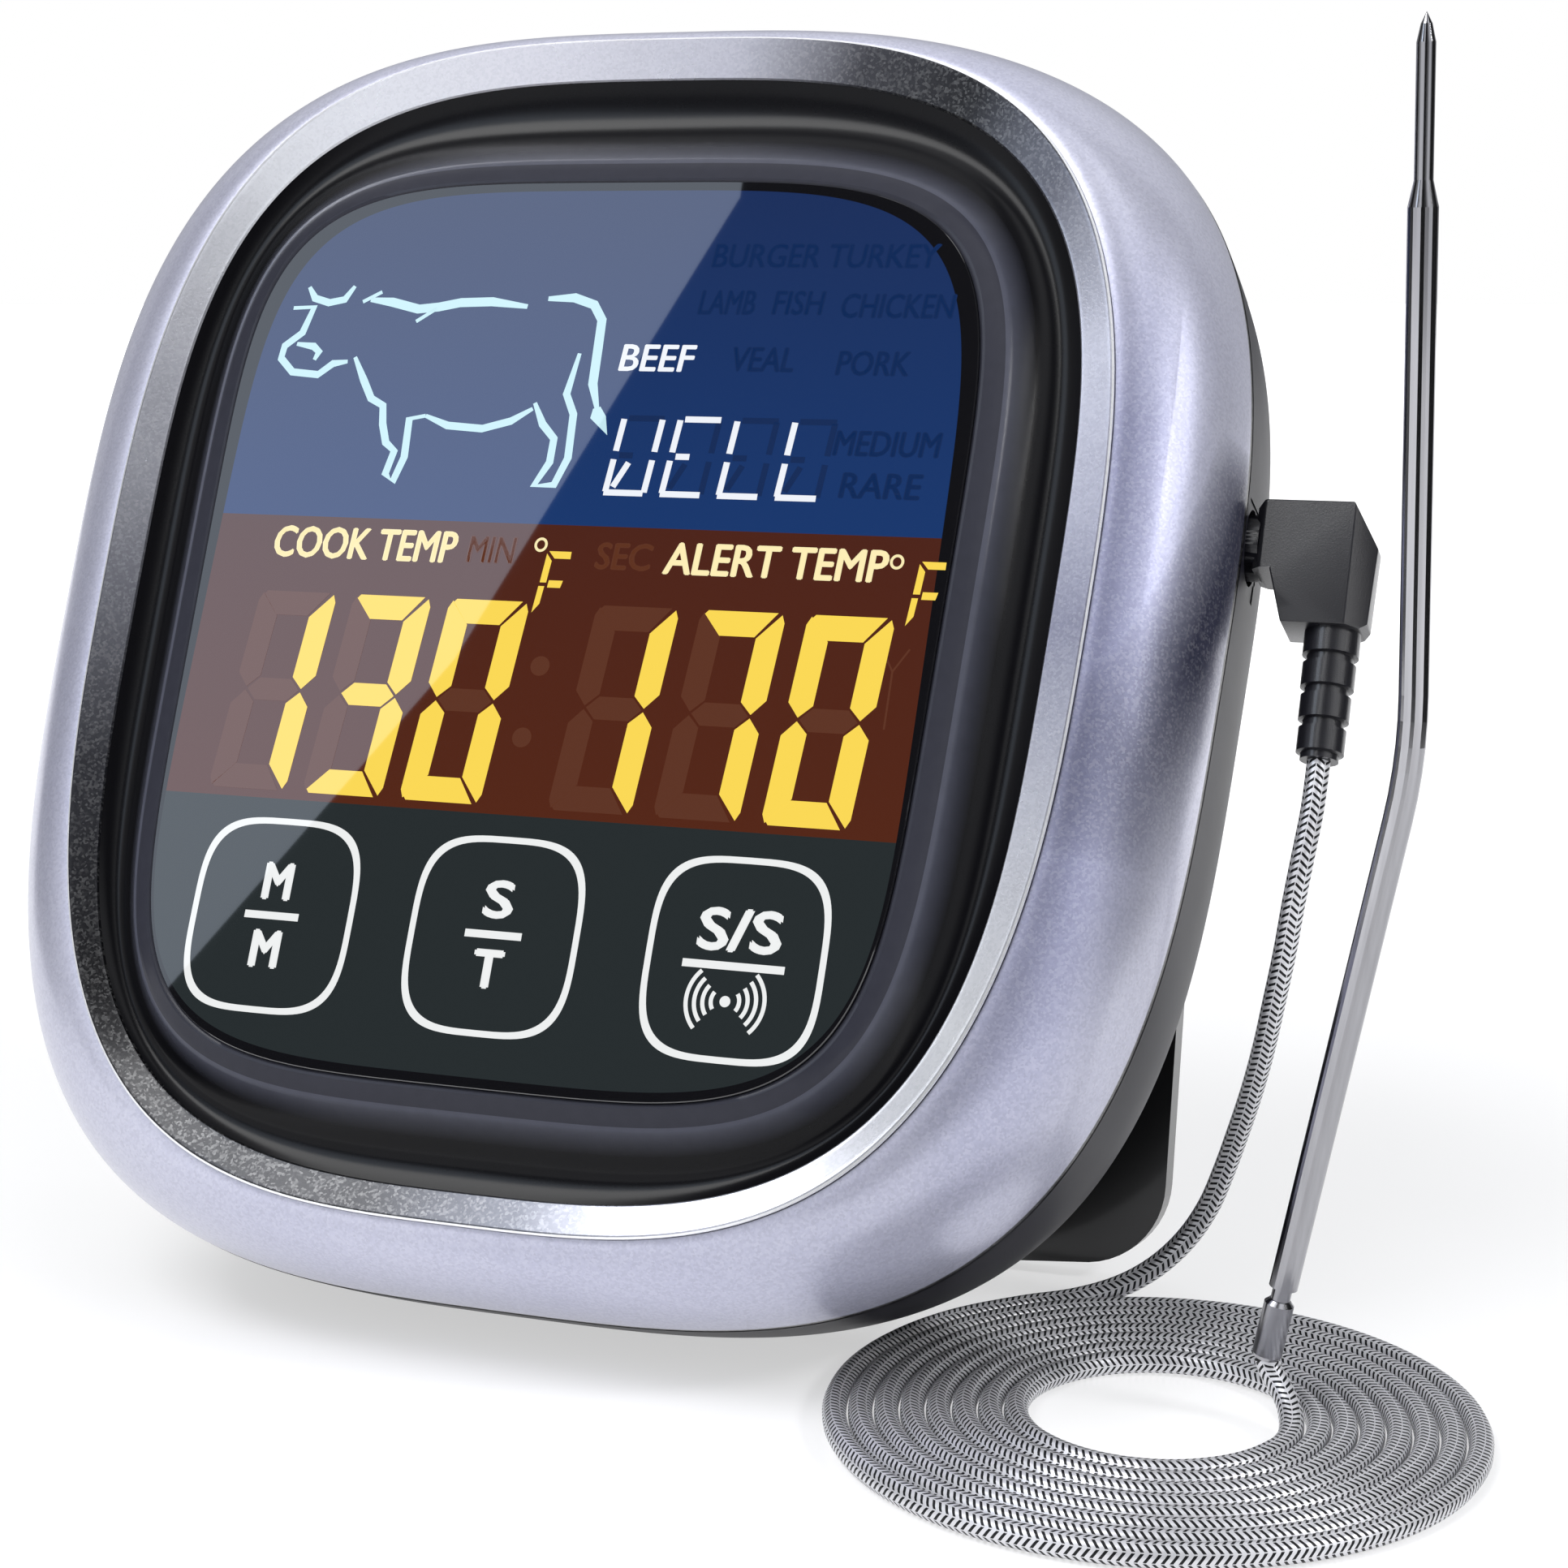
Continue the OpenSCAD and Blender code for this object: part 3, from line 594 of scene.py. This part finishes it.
# words: text, left, right, low, high
wordLook = {"bright": [("COOK TEMP", -25.3, -9.2, 2.1, 4.7), ("ALERT TEMP", 8.75, 26.6, 1.95, 4.45)],
            "unlit": [("MIN", -8.0, -4.1, 2.25, 4.4), ("SEC", 3.0, 7.5, 2.1, 4.25)],
            "degrees": ((-1.85, 3.9), (27.4, 3.6)), "slant": 0.05,
            "choices": [("BURGER TURKEY", 8.5, 27.0, 27.6, 29.6), ("LAMB", 8.0, 12.6, 23.6, 25.6),
                        ("FISH", 14.2, 18.2, 23.6, 25.6), ("CHICKEN", 19.8, 28.8, 23.4, 25.4),
                        ("VEAL", 11.4, 16.6, 18.8, 20.8), ("PORK", 20.2, 26.0, 18.6, 20.6),
                        ("MEDIUM", 21.0, 29.3, 12.0, 14.0), ("RARE", 22.0, 28.3, 8.6, 10.6)],
            "chosen": ("BEEF", 2.1, 8.2, 18.7, 20.9), "choiceSlant": 0.08}


def printWords():
    for x, y in wordLook["degrees"]:
        pale.loop(rounded(0.56, 0.6, (x, y), 2, 32), rounded(0.34, 0.38, (x, y), 2, 32))
    for sheet, group in ((pale, "bright"), (ghost, "unlit")):
        for words in wordLook[group]:
            sheet.text(*words, wordLook["slant"])
    ghost.stroke([(28.3, -9.5), (28.3, -5), (27.2, -3.2)], 0.16)
    ghost.stroke([(28.3, -5), (29.4, -3.2)], 0.16)
    white.text(*wordLook["chosen"], wordLook["choiceSlant"], 0.06)
    for words in wordLook["choices"]:
        faint.text(*words, wordLook["choiceSlant"])


# the word under the cow, in segments
grade = {"word": "WELL", "left": 2.3, "low": 8.0, "step": 4.75, "width": 4.1, "height": 7.1, "bar": 0.85,
         "slant": 0.09, "letters": {"W": "fedcbk", "E": "afedg", "L": "fed"}}


def printGrade():
    w, h, t = grade["width"], grade["height"], grade["bar"]
    strokes = {"a": [(0.8, h - t/2), (w - 0.3, h - t/2)], "b": [(w - t/2, h - 0.5), (w - t/2, h/2 + 0.35)],
               "c": [(w - t/2, h/2 - 0.35), (w - t/2, 0.5)], "d": [(0.3, t/2), (w - 0.5, t/2)],
               "e": [(t/2, h/2 - 0.35), (t/2, 0.5)], "f": [(t/2, h - 0.5), (t/2, h/2 + 0.35)],
               "g": [(0.8, h/2), (w/2 - 0.1, h/2)], "k": [(0.95, 0.9), (w/2 - 0.3, h/2 - 0.6)]}
    for k, letter in enumerate(grade["word"]):
        left = grade["left"] + grade["step"]*k
        for key, line in strokes.items():
            sheet = white if key in grade["letters"][letter] else faint
            sheet.stroke([(left + x + grade["slant"]*y, grade["low"] + y) for x, y in line], t, 0.6)


# the cow, line by line
cow = {"horns": [(-26.9, 25.7), (-26.2, 24.7), (-24.8, 24.3), (-23.4, 24.6), (-22.7, 25.8)],
       "head": [(-28.0, 23.8), (-26.1, 23.9), (-26.7, 21.6), (-28.1, 20.4), (-28.2, 19.3), (-26.9, 18.1),
                (-24.5, 17.9), (-23.3, 18.9), (-22.0, 19.1)],
       "mouth": [(-27.0, 20.6), (-25.4, 20.4), (-24.8, 19.9), (-25.1, 19.2)],
       "neck": [(-21.7, 24.4), (-20.1, 25.3)],
       "back": [(-21.0, 24.6), (-19.0, 24.4), (-16.5, 23.8), (-14.7, 24.0), (-12.8, 24.4), (-10.0, 24.5),
                (-6.8, 24.1)],
       "shoulder": [(-16.5, 22.7), (-14.8, 23.9)],
       "tail": [(-5.1, 24.8), (-2.8, 24.9), (-1.0, 24.3), (-0.1, 23.0), (0.0, 20.5), (0.1, 17.5),
                (0.8, 15.5)],
       "front": [(-21.4, 19.5), (-20.2, 17.5), (-19.2, 15.9), (-18.0, 15.3), (-17.7, 13.7), (-17.1, 12.1),
                 (-16.2, 11.4), (-16.6, 9.4), (-15.8, 8.8), (-15.2, 10.9), (-15.4, 14.2), (-14.0, 14.5)],
       "belly": [(-14.0, 14.5), (-11.9, 13.7), (-8.8, 13.5), (-6.4, 14.2), (-4.7, 15.3)],
       "hind": [(-4.6, 15.8), (-3.6, 14.0), (-2.4, 12.8), (-2.4, 10.8), (-3.4, 8.8), (-1.7, 8.9),
                (-0.9, 11.2), (-1.1, 14.9), (-2.0, 16.6), (-1.5, 20.1)]}
cowLook = {"line": 0.66, "boldLine": 0.8, "bold": ("tail", "back"),
           "tuft": [(0.5, 15.4), (0.4, 14.6), (2.1, 13.2), (1.7, 14.8), (1.1, 15.6)]}


def printCow():
    for name, line in cow.items():
        icon.stroke(line, cowLook["boldLine"] if name in cowLook["bold"] else cowLook["line"], 0.5)
    icon.patch(cowLook["tuft"])


# the touch keys
keyLook = {"centres": ((-18.95, -27.3), (0, -27.45), (19.55, -27.65)), "halfWidth": 7.05, "halfHeight": 7.75,
           "rim": 0.5, "letterWidth": 2.2, "bold": 0.16, "letters": ((-18.95, "M", "M"), (0, "S", "T")),
           "beeper": (19.3, -30.8), "rings": (1.1, 1.75, 2.4, 3.05)}


def printKeys():
    wide, tall, rim = keyLook["halfWidth"], keyLook["halfHeight"], keyLook["rim"]
    for centre in keyLook["centres"]:
        keys.loop(rounded(wide, tall, centre, 3.7), rounded(wide - rim, tall - rim, centre, 3.6))
    half = keyLook["letterWidth"]/2
    for x, upper, lower in keyLook["letters"]:
        keys.text(upper, x - half, x + half, -26.0, -23.2, 0, keyLook["bold"])
        keys.text(lower, x - half, x + half, -31.4, -28.6, 0, keyLook["bold"])
        keys.bar(x - 2.35, -27.65, x + 2.35, -27.05)
    keys.text("S/S", 16.5, 22.8, -27.0, -23.9, 0, keyLook["bold"])
    keys.bar(15.5, -28.45, 23.5, -27.85)
    keys.patch(rounded(0.42, 0.42, keyLook["beeper"], 2, 24))
    x, y = keyLook["beeper"]
    for turn in (0, pi):
        for r in keyLook["rings"]:
            spread = radians(30 + 5*r)
            arc = [turn + spread*(j/8 - 1) for j in range(17)]
            keys.stroke([(x + r*cos(a), y + r*sin(a)) for a in arc], 0.32)


printNumbers()
printWords()
printGrade()
printCow()
printKeys()

# the cover glass, with the screen's zones laid under it as lit colour
screenLook = {"blueLow": "12366e", "blueHigh": "152d5c", "brownLow": "54230c", "brownHigh": "4d2010",
              "keyZone": "232a2b", "blueFrom": 5.6, "brownFrom": -18,
              "markDepth": -0.016, "ghostDepth": -0.012,
              "digits": "ffdc55", "ghosts": "5f3320", "words": "fff0b8", "white": "f4f8ff",
              "cow": "c8ecf4", "faint": "0f2a58", "keys": "f2f4f4"}


def screenPaint(name, code):
    return Paint(name, Base_Color=(0.004, 0.004, 0.005), Roughness=0.5, Coat_Weight=1.0, Coat_Roughness=0.015,
                 Coat_IOR=1.5, Specular_IOR_Level=0.0, Emission_Color=linear(code), Emission_Strength=1.0)


def makeScreen():
    edge = caseShape["glass"]
    glass = facePlate("screen_glass", outline(grow(edge, 0.02), 288), 0.0, slot="glass", smooth=None)
    rim = loft("glass_edge", [(grow(edge, 0.02), 0), (grow(edge, 0.08), 0.08), (grow(edge, 0.08), 1.4)],
               slot="glass")
    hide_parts("glass_panel")
    face = screenPaint("screen_layers", "14305f")
    across, up = face.uv()
    tones = {key: linear(screenLook[key]) for key in ("blueLow", "blueHigh", "brownLow", "brownHigh")}
    blue = face.mix(up.ramp(screenLook["blueFrom"], 33), tones["blueLow"], tones["blueHigh"])
    brown = face.mix(up.ramp(screenLook["brownFrom"], screenLook["blueFrom"]), tones["brownLow"],
                     tones["brownHigh"])
    zone = face.mix(up.above(screenLook["blueFrom"]), brown, blue)
    zone = face.mix(up.above(screenLook["brownFrom"]), linear(screenLook["keyZone"]), zone)
    fromMiddle = (across.size()/30.6).power(edge[2]) + ((up + 2).size()/36.3).power(edge[3])
    face.set(Emission_Color=face.mix(fromMiddle.above(1), zone, (0.001, 0.001, 0.0015)))
    face.on(glass)
    Paint("glass_rim", Base_Color=(0.01, 0.01, 0.012), Roughness=0.08, Coat_Weight=1).on(rim)
    for sheet, name, paint, key in ((lit, "digits_lit", "digit_yellow", "digits"),
                                    (ghost, "digits_unlit", "ghost_brown", "ghosts"),
                                    (pale, "words_lit", "word_cream", "words"),
                                    (white, "words_white", "word_white", "white"),
                                    (icon, "cow_outline", "icon_pale", "cow"),
                                    (faint, "words_unlit", "ghost_blue", "faint"),
                                    (keys, "touch_keys", "key_white", "keys")):
        depth = screenLook["ghostDepth" if name.endswith("unlit") else "markDepth"]
        screenPaint(paint, screenLook[key]).on(sheet.piece(name, depth))


makeScreen()
print("screen")


# the moulded plastics, and the pieces each one is on
plastics = {
    "rear_shell_satin": {"colour": "1d1d26", "roughness": 0.42, "grain": 7000, "depth": 0.00002,
                         "gloss": 0.22, "on": ["rear_shell", "rear_flank"]},
    "door_satin": {"colour": "262630", "roughness": 0.42, "grain": 5200, "depth": 0.00004, "coat": 0.1,
                   "on": ["battery_door"]},
    "tray_matt": {"colour": "1e1e22", "roughness": 0.55, "grain": 5200, "on": ["battery_tray"]},
    "stand_black": {"colour": "0c0c0e", "roughness": 0.3, "grain": 6000, "depth": 0.00001, "coat": 0.3,
                    "on": ["stand_frame"]},
    "foot_rubber": {"colour": "141414", "roughness": 0.75, "grain": 2500, "depth": 0.00006,
                    "on": ["foot_pad", "stand_tip"]},
    "knob_matt": {"colour": "17171a", "roughness": 0.5, "grain": 3000, "depth": 0.00004,
                  "on": ["switch_knob", "unit_button"]},
    "inner_matt": {"colour": "232328", "roughness": 0.6, "grain": 3000,
                   "on": ["front_chassis", "switch_body", "unit_switch", "driver_chip", "buzzer",
                          "jack_body"]},
    "seal_rubber": {"colour": "0a0a0a", "roughness": 0.7, "grain": 3000, "on": ["glass_seal"]},
    "board_green": {"colour": "1c5a34", "roughness": 0.4, "grain": 2600, "on": ["main_board"]},
    "diffuser_white": {"colour": "e8e8e4", "roughness": 0.5, "grain": 3000, "on": ["backlight"]},
    "film_amber": {"colour": "9a6a30", "roughness": 0.3, "grain": 3000, "on": ["touch_film"]},
    "screen_stack": {"colour": "16243f", "roughness": 0.2, "grain": 3000, "on": ["lcd_module"]},
    "plug_textured": {"colour": "1a1a20", "roughness": 0.3, "grain": 9000, "depth": 0.00004, "coat": 0.35,
                      "vary": 0.3, "on": ["plug_rounded", "lead_boot"]}}
drawn = {**nodes, "rear_flank": flank, "plug_rounded": plug}


def moulded(name, look):
    paint = Paint(name, Roughness=look["roughness"], Coat_Weight=look.get("coat", 0.0), Coat_Roughness=0.08,
                  Specular_IOR_Level=look.get("gloss", 0.5))
    base = linear(look["colour"])
    broad = paint.noise(60, 4)
    paint.set(Base_Color=paint.mix(broad.ramp(0.3, 0.7), base, dim(base, look.get("vary", 0.25))),
              Roughness=look["roughness"] - 0.06 + 0.12*broad)
    return paint.bump(paint.noise(look["grain"], 2), 0.35, look.get("depth", 0.00003))


for name, look in plastics.items():
    moulded(name, look).on(*(drawn[n] for n in look["on"]))

# the bright metals
metals = [("probe_steel", "a2a2a6", 0.13, ["probe_shaft", "probe_ferrule", "probe_tip"]),
          ("bright_steel", "c2c2c6", 0.22, ["magnets", "case_screws", "stand_pins", "jack_bushing",
                                            "spring_contacts", "plate_contacts"]),
          ("plug_gold", "d8b060", 0.14, ["plug_pin"])]


def steelPaint(name, colour, roughness):
    # fine lines drawn out along the piece
    paint = Paint(name, Metallic=1.0)
    stretched = paint.node("Mapping", None, {"Vector": paint.place(), "Scale": (1, 1, 0.04)})
    lines = paint.node("TexNoise", None, {"Vector": stretched, "Scale": 1800, "Detail": 3})
    base = linear(colour)
    paint.set(Base_Color=paint.mix(lines.ramp(0.3, 0.7), base, dim(base, 0.1)),
              Roughness=roughness - 0.04 + 0.08*lines)
    return paint.bump(lines, 0.12, 0.00001)


for name, colour, roughness, pieces in metals:
    steelPaint(name, colour, roughness).on(*(nodes[n] for n in pieces))

cellLook = {"jacket": "2c2d31", "band": "b98a35", "bandFrom": 0.0135, "roughness": 0.25}


def paintCells():
    cell = Paint("cell_jacket", Metallic=0.5, Roughness=cellLook["roughness"])
    endwise = cell.place().split()[0]
    cell.set(Base_Color=cell.mix(endwise.size().above(cellLook["bandFrom"]), linear(cellLook["jacket"]),
                                 linear(cellLook["band"])))
    cell.bump(cell.noise(400), 0.05, 0.00002).on(nodes["cell_upper"], nodes["cell_lower"])


# the lead's steel braid; stitch is a thread's pitch along the lead, in mm
braidLook = {"thread": "dcdce0", "gap": "18181b", "stitch": 0.56, "columns": 8, "slant": 0.85, "open": 0.42}


def paintBraid():
    weave = Paint("braid_steel", Roughness=0.38, Metallic=0.55)
    around, along = weave.uv()
    column = around*braidLook["columns"]
    within = column.part() - 0.5
    leaning = (column*0.5).part().above(0.5)*2 - 1
    step = (along/braidLook["stitch"] + within*leaning*braidLook["slant"]).part()
    gap = (braidLook["open"] - step).above(0)*(within.size() - 0.47).ramp(0, -0.06)
    weave.set(Base_Color=weave.mix(gap, linear(braidLook["thread"]), linear(braidLook["gap"])))
    weave.bump(gap*-1 + (0.5 - within.size()), 0.5, 0.0001).on(braid)


paintCells()
paintBraid()
print("finishes")


# the stage: a pale floor, a white room and the lights
stageLook = {"glow": 0.55, "glowFrom": 0.12, "glowTo": 0.45, "fill": 0.36, "key": 5, "side": 1.6,
             "glare": 3.2, "glareColour": (0.75, 0.85, 1.0), "floorHalf": 4, "roomRadius": 3.9,
             "roomSides": 48}


def card(name, corners, strength, colour=(1, 1, 1), seen=False):
    mesh = bpy.data.meshes.new(name)
    mesh.from_pydata([tuple(c) for c in corners], [], [tuple(range(len(corners)))])
    piece = bpy.data.objects.new(name, mesh)
    bpy.context.collection.objects.link(piece)
    Paint(name, Base_Color=(0.02, 0.02, 0.02), Roughness=1.0, Specular_IOR_Level=0.0,
          Emission_Color=colour, Emission_Strength=strength).on(piece)
    piece.visible_camera, piece.visible_diffuse, piece.visible_shadow = seen, False, False
    return piece


def makeFloor():
    # the floor glows more with distance, so it ends as white as the room
    half, near = stageLook["floorHalf"], stageLook["glow"]
    corners = [(-half, -half, 0), (half, -half, 0), (half, half, 0), (-half, half, 0)]
    floor = card("floor", corners, 0, seen=True)
    floor.visible_diffuse = floor.visible_shadow = True
    paint = Paint("floor_pale", Roughness=0.25, Specular_IOR_Level=0.4, Emission_Strength=1.0)
    reach = paint.node("VectorMath", {"operation": "LENGTH"}, {"Vector": paint.place()}, 1)
    glow = paint.mix(reach.ramp(stageLook["glowFrom"], stageLook["glowTo"]), (near, near, near), (1, 1, 1))
    cloud = paint.noise(3).ramp(0.2, 0.8)
    paint.set(Emission_Color=glow, Base_Color=paint.mix(cloud, (0.5, 0.5, 0.51), (0.52, 0.52, 0.52)))
    paint.on(floor)


def makeRoom():
    # only the camera sees it
    n, radius = stageLook["roomSides"], stageLook["roomRadius"]
    ring = [(radius*cos(2*pi*i/n), radius*sin(2*pi*i/n)) for i in range(n)]
    points = [(x, y, 0.001) for x, y in ring] + [(x, y, 5) for x, y in ring] + [(0, 0, 6)]
    walls = [(i, (i + 1) % n, n + (i + 1) % n, n + i) for i in range(n)]
    roof = [(n + i, n + (i + 1) % n, 2*n) for i in range(n)]
    dome = meshPiece("backdrop", points, walls + roof, body=None, millimetres=False)
    Paint("backdrop", Base_Color=(0, 0, 0), Specular_IOR_Level=0.0, Emission_Color=(1, 1, 1),
          Emission_Strength=1.0).on(dome)
    dome.visible_diffuse = dome.visible_glossy = dome.visible_shadow = dome.visible_transmission = False


# What the gloss and the steel reflect: bands between two turns from the camera, in degrees.
# A bright band's last number is added to the light, and a dark band's is the share it takes away.
skyLook = {"bright": ((-75, -28, 0.75), (24, 52, 0.6)),
           "dark": ((-16, 12, 0.75), (66, 112, 0.8), (-128, -96, 0.6)),
           "top": 0.5, "soft": 6, "colour": (0.96, 0.97, 1.0)}


def studioSky():
    sky = bpy.data.worlds.new("studio")
    bpy.context.scene.world = sky
    sky.use_nodes = True
    tree, soft = sky.node_tree, skyLook["soft"]
    x, y, z = addNode(tree, "TexCoord").split()
    right = x*cos(viewTurn) + y*sin(viewTurn)
    front = x*sin(viewTurn) - y*cos(viewTurn)
    turn = right.angle(front)*(180/pi)

    def band(start, end):
        return turn.ramp(start - soft, start + soft)*(1 - turn.ramp(end - soft, end + soft))

    level = stageLook["fill"] + skyLook["top"]*z.ramp(0.4, 0.9)
    for start, end, share in skyLook["bright"]:
        level = level + share*band(start, end)
    for start, end, share in skyLook["dark"]:
        level = level*(1 - share*band(start, end))
    surface = tree.nodes["Background"]
    feed(tree, surface.inputs["Color"], skyLook["colour"])
    feed(tree, surface.inputs["Strength"], level)


def areaLight(name, place, target, power, width, height):
    data = bpy.data.lights.new(name, "AREA")
    data.shape, data.size, data.size_y, data.energy = "RECTANGLE", width, height, power
    lamp = bpy.data.objects.new(name, data)
    lamp.location = place
    lamp.rotation_mode = "QUATERNION"
    lamp.rotation_quaternion = (Vector(target) - Vector(place)).to_track_quat("-Z", "Y")
    bpy.context.collection.objects.link(lamp)


def mirrored(u, v, reach):
    # where a card must hang for the camera to see it mirrored in the glass at u, v
    spot = world(u, v, 0)
    normal = Vector((0, -cos(lean), sin(lean)))
    inward = (spot - camera.location).normalized()
    return spot + (inward - 2*inward.dot(normal)*normal)*reach


def standing(name, start, end, reach=0.3, height=0.4):
    # a dark upright card between two turns from the camera, in degrees
    turns = [viewTurn + radians(a) for a in (start, end)]
    left, right = (Vector((sin(a)*reach, -cos(a)*reach, 0)) for a in turns)
    up = Vector((0, 0, height))
    card(name, [left, right, right + up, left + up], 0.0)


makeFloor()
makeRoom()
studioSky()
areaLight("key_light", (-0.35, -0.4, 0.9), (0, 0, 0.05), stageLook["key"], 0.6, 0.4)
areaLight("side_light", (0.6, -0.05, 0.42), (0.05, 0, 0.06), stageLook["side"], 0.12, 0.12)

# cards that only reflections see
glareEdge = ((9.9, 33.7), (-7.45, -5.8), (-31, -40), (-60, -20), (-60, 45), (9, 60))
card("glare_card", [mirrored(u, v, 0.7) for u, v in glareEdge], stageLook["glare"], stageLook["glareColour"])
card("screen_dark", [mirrored(u, v, 0.8) for u, v in ((-34, -42), (36, -42), (36, 40), (-34, 40))], 0.0)
standing("front_dark", -13, 9)
standing("right_dark", 62, 108)
standing("left_dark", -128, -98)
print("stage")
